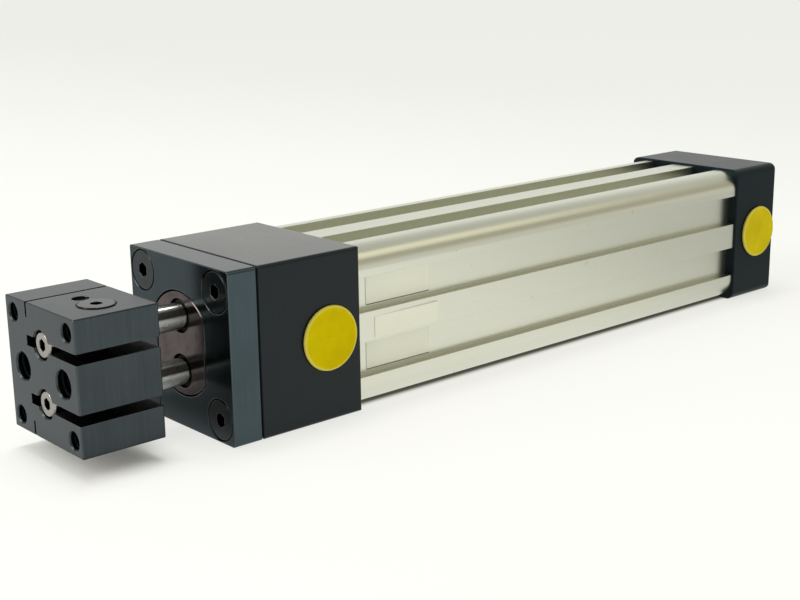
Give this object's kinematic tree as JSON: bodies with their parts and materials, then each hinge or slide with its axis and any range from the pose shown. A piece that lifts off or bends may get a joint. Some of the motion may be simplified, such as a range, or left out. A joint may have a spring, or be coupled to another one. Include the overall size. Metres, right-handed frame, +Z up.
{
  "type": "non-rotating pneumatic cylinder",
  "caption": "Non-rotating air cylinder: square profile barrel between solid heads, capped side ports, parallel piston rods and a split tooling block clamped on their ends.",
  "frame": {"origin": "centre of the front plate's outer face, on the cylinder's axis", "axes": "+X along the stroke towards the tooling block, +Y out of the ported side, +Z up, away from the foot holes"},
  "size_m": [0.3039, 0.0519, 0.0508],
  "materials": {
    "black_anodised": "black anodised, fine machined grain",
    "black_oxide": "black-oxided steel, fine ground grain",
    "clear_anodised": "satin clear anodised extrusion",
    "bronze": "dark bronze, turned and faced",
    "chrome_rod": "ground and hard chromed",
    "black_steel": "black oxide",
    "seal_rubber": "moulded black rubber",
    "yellow_plastic": "moulded yellow polyethylene"
  },
  "bodies": {
    "barrel": {"front_plate": "black_oxide", "front_head": "black_anodised", "rod_gland": "bronze", "gland_o_ring": "seal_rubber", "rod_wipers": "seal_rubber", "rod_seals": "seal_rubber", "rod_bushings": "bronze", "front_bumper": "seal_rubber", "front_barrel_o_ring": "seal_rubber", "barrel_tube": "clear_anodised", "rear_barrel_o_ring": "seal_rubber", "rear_bumper": "seal_rubber", "rear_cap": "black_anodised", "plate_screws": "black_steel", "cap_screws": "black_steel"},
    "rods": {"piston": "clear_anodised", "piston_seals": "seal_rubber", "piston_wear_band": "bronze", "rod_nuts": "black_steel", "upper_rod": "chrome_rod", "lower_rod": "chrome_rod", "tooling_block": "black_oxide", "clamp_screws": "black_steel", "rod_set_screws": "black_steel"},
    "front_plug": {"front_port_plug": "yellow_plastic"},
    "rear_plug": {"rear_port_plug": "yellow_plastic"}
  },
  "joints": [
    {"name": "rod_slide", "type": "slide", "parent": "barrel", "child": "rods", "axis": [1, 0, 0], "range_m": [0, 0.1524]},
    {"name": "front_plug_pull", "type": "slide", "parent": "barrel", "child": "front_plug", "axis": [0, 1, 0], "range_m": [0, 0.025]},
    {"name": "rear_plug_pull", "type": "slide", "parent": "barrel", "child": "rear_plug", "axis": [0, 1, 0], "range_m": [0, 0.025]}
  ]
}
